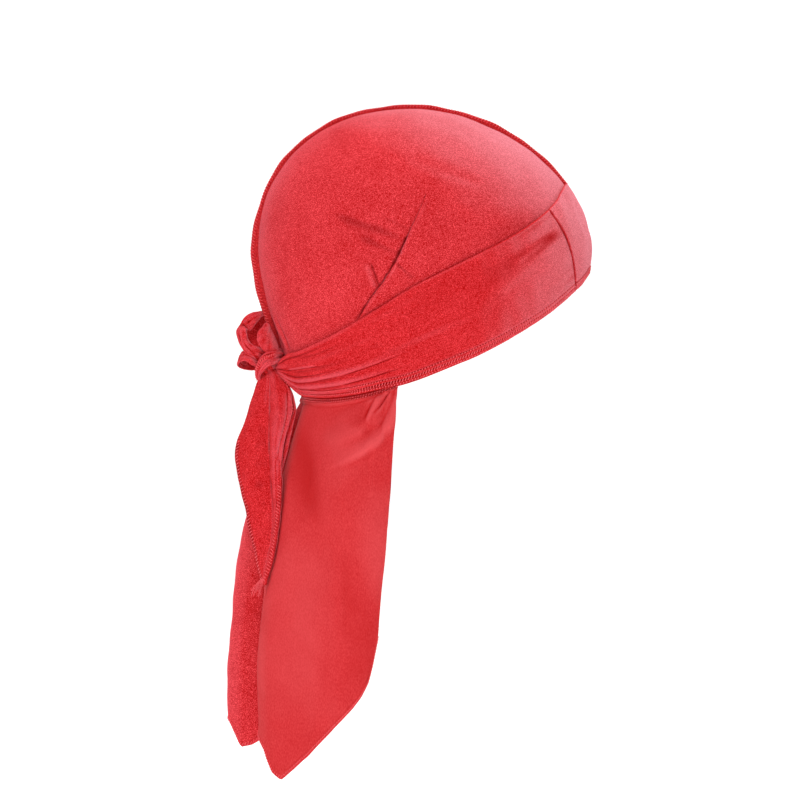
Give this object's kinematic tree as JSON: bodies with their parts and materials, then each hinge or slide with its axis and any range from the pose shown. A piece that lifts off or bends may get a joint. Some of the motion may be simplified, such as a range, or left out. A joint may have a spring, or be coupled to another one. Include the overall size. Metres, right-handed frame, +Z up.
{
  "type": "long-tail bandana cap",
  "caption": "Close-fitting velvet head wrap with a panelled crown, raised centre seam, wide wrap straps tied in a bow at the back and a long loose tail over the neck.",
  "frame": {"origin": "inside of the crown's top, on the centre plane, where the cap rests on the head", "axes": "+Z up, +X towards the forehead, +Y towards the wearer's left; the bow and the tail are at -X"},
  "size_m": [0.218, 0.1582, 0.4015],
  "materials": {
    "velvet": "red stretch velvet, soft nap, pile side out",
    "seam_edge": "overlocked seam allowance in red thread",
    "tail_cloth": "smooth knitted back of the same red velvet"
  },
  "bodies": {
    "root": {"crown_right": "velvet", "crown_left": "velvet", "centre_seam": "seam_edge", "forehead_panel": "velvet", "strap_right": "velvet", "strap_left": "velvet", "tail": "tail_cloth", "knot": "velvet", "strap_end": "velvet", "bow_loop_upper": "velvet", "bow_loop_inner": "velvet", "bow_loop_lower": "velvet"}
  },
  "joints": []
}
